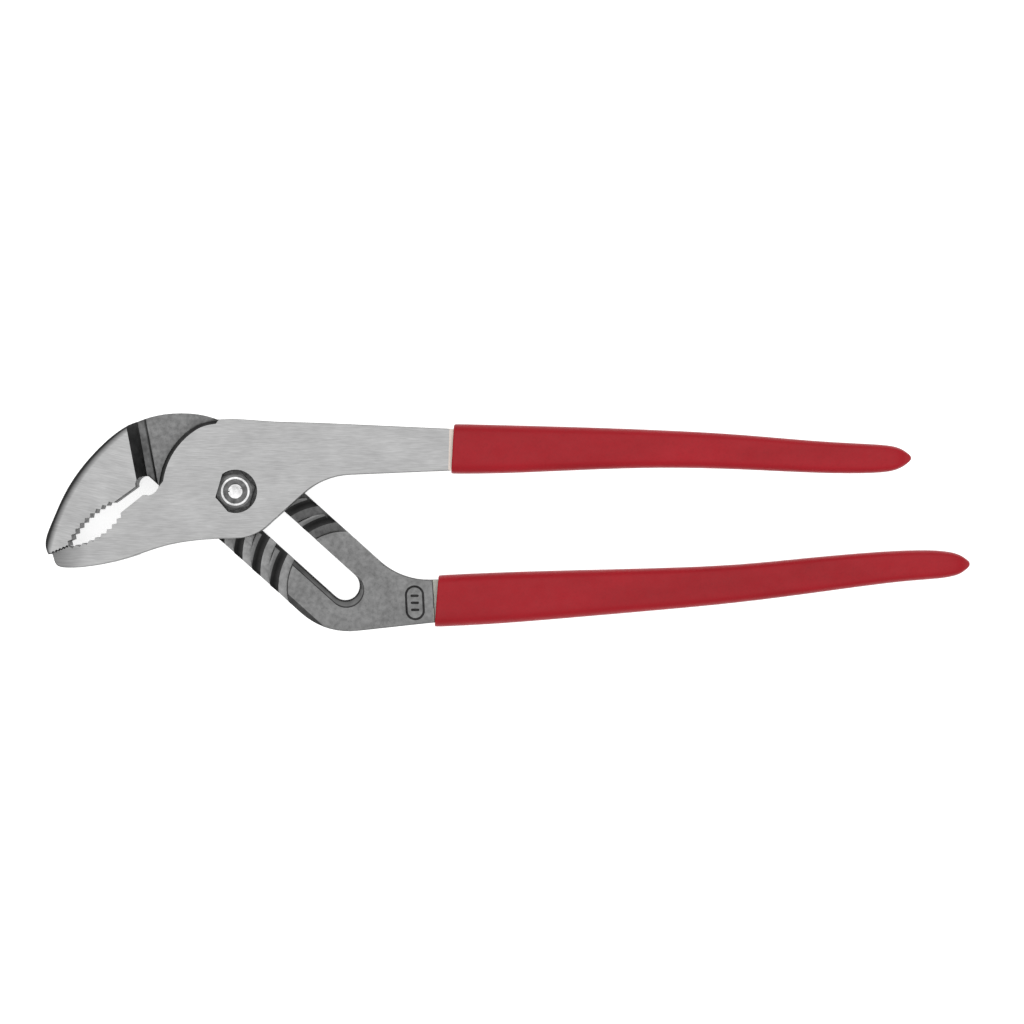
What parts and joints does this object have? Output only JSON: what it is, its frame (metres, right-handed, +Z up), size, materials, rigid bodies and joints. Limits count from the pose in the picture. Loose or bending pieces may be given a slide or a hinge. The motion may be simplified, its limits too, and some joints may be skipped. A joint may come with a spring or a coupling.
{
  "type": "tongue and groove pliers",
  "caption": "Slip-joint pliers with two offset jaws, a slotted neck with stepped grooves and a sliding pivot bolt, and two dipped vinyl handle sleeves.",
  "frame": {"origin": "on the pivot axis, at the underside of the bolt head, which the tool rests on", "axes": "+X from the jaws to the handles, +Y towards the front lever's handle, +Z up through the bolt, from the rear lever to the front lever"},
  "size_m": [0.2539, 0.06, 0.0138],
  "materials": {
    "forged_steel": "matte grey drop-forged steel, blasted, with a ground jaw face",
    "ground_steel": "bright satin ground face with fine lengthwise grain",
    "bolt_steel": "dark oiled machined steel",
    "red_vinyl": "semi-gloss dipped red vinyl"
  },
  "bodies": {
    "rear": {"rear_lever": "forged_steel", "lower_grip": "red_vinyl"},
    "carriage": {"slide_washer": "bolt_steel"},
    "front": {"front_lever": "ground_steel", "pivot_bolt": "bolt_steel", "pivot_nut": "bolt_steel", "upper_grip": "red_vinyl"}
  },
  "joints": [
    {"name": "slot_shift", "type": "slide", "parent": "rear", "child": "carriage", "axis": [0.7431, -0.6691, 0], "range_m": [0, 0.0399]},
    {"name": "jaw_hinge", "type": "hinge", "parent": "carriage", "child": "front", "pos_m": [0, 0, 0], "axis": [0, 0, 1], "range_deg": [0, 80]}
  ]
}
